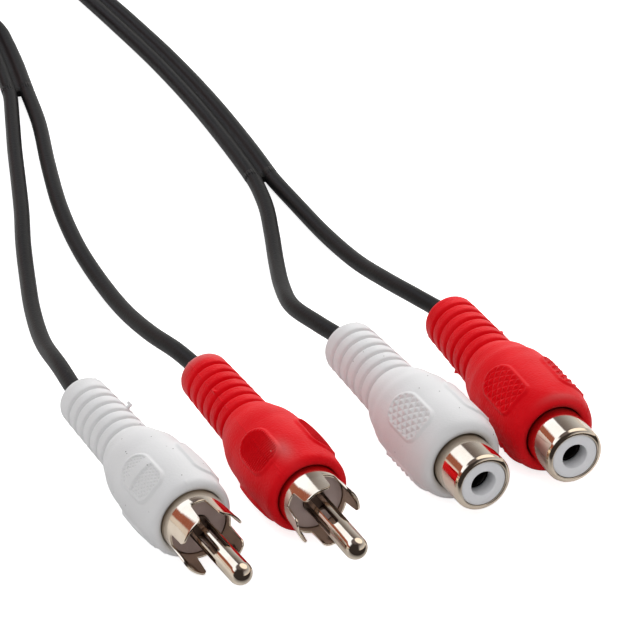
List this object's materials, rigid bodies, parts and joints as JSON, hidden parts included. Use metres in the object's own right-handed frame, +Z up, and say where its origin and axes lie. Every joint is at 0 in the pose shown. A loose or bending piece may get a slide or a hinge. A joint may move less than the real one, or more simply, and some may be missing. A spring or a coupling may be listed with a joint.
{
  "type": "stereo phono extension cable",
  "caption": "Flat audio extension cable with white and red phono plugs on one end and white and red in-line phono jacks on the other.",
  "frame": {"origin": "under the middle of the four connectors, on the surface that they lie on", "axes": "+Z up from the surface, -Y the way that the plugs and jacks point, +X from the white plug towards the red jack"},
  "size_m": [0.0674, 0.2713, 0.0129],
  "materials": {
    "white_vinyl": "satin moulded vinyl",
    "red_vinyl": "satin moulded vinyl",
    "nickel": "bright nickel plate",
    "mauve_insulator": "satin",
    "grey_insulator": "satin",
    "contact_metal": "dull plated brass",
    "natural_polythene": "matte",
    "core_polythene": "matte",
    "copper": "bare stranded copper",
    "black_vinyl": "satin flexible vinyl"
  },
  "bodies": {
    "root": {"white_plug_body": "white_vinyl", "white_plug_shell": "nickel", "white_plug_insulator": "mauve_insulator", "white_plug_pin": "nickel", "white_plug_inner_mould": "natural_polythene", "white_plug_core_wire": "core_polythene", "white_plug_shield_tail": "copper", "white_plug_lead": "black_vinyl", "red_plug_body": "red_vinyl", "red_plug_shell": "nickel", "red_plug_insulator": "mauve_insulator", "red_plug_pin": "nickel", "red_plug_inner_mould": "natural_polythene", "red_plug_core_wire": "core_polythene", "red_plug_shield_tail": "copper", "red_plug_lead": "black_vinyl", "white_jack_body": "white_vinyl", "white_jack_barrel": "nickel", "white_jack_insulator": "grey_insulator", "white_jack_contact": "contact_metal", "white_jack_inner_mould": "natural_polythene", "white_jack_core_wire": "core_polythene", "white_jack_shield_tail": "copper", "white_jack_lead": "black_vinyl", "red_jack_body": "red_vinyl", "red_jack_barrel": "nickel", "red_jack_insulator": "grey_insulator", "red_jack_contact": "contact_metal", "red_jack_inner_mould": "natural_polythene", "red_jack_core_wire": "core_polythene", "red_jack_shield_tail": "copper", "red_jack_lead": "black_vinyl", "twin_cable_jack_side": "black_vinyl", "twin_cable_plug_side": "black_vinyl", "cable_coil": "black_vinyl", "coil_tie": "black_vinyl"}
  },
  "joints": []
}
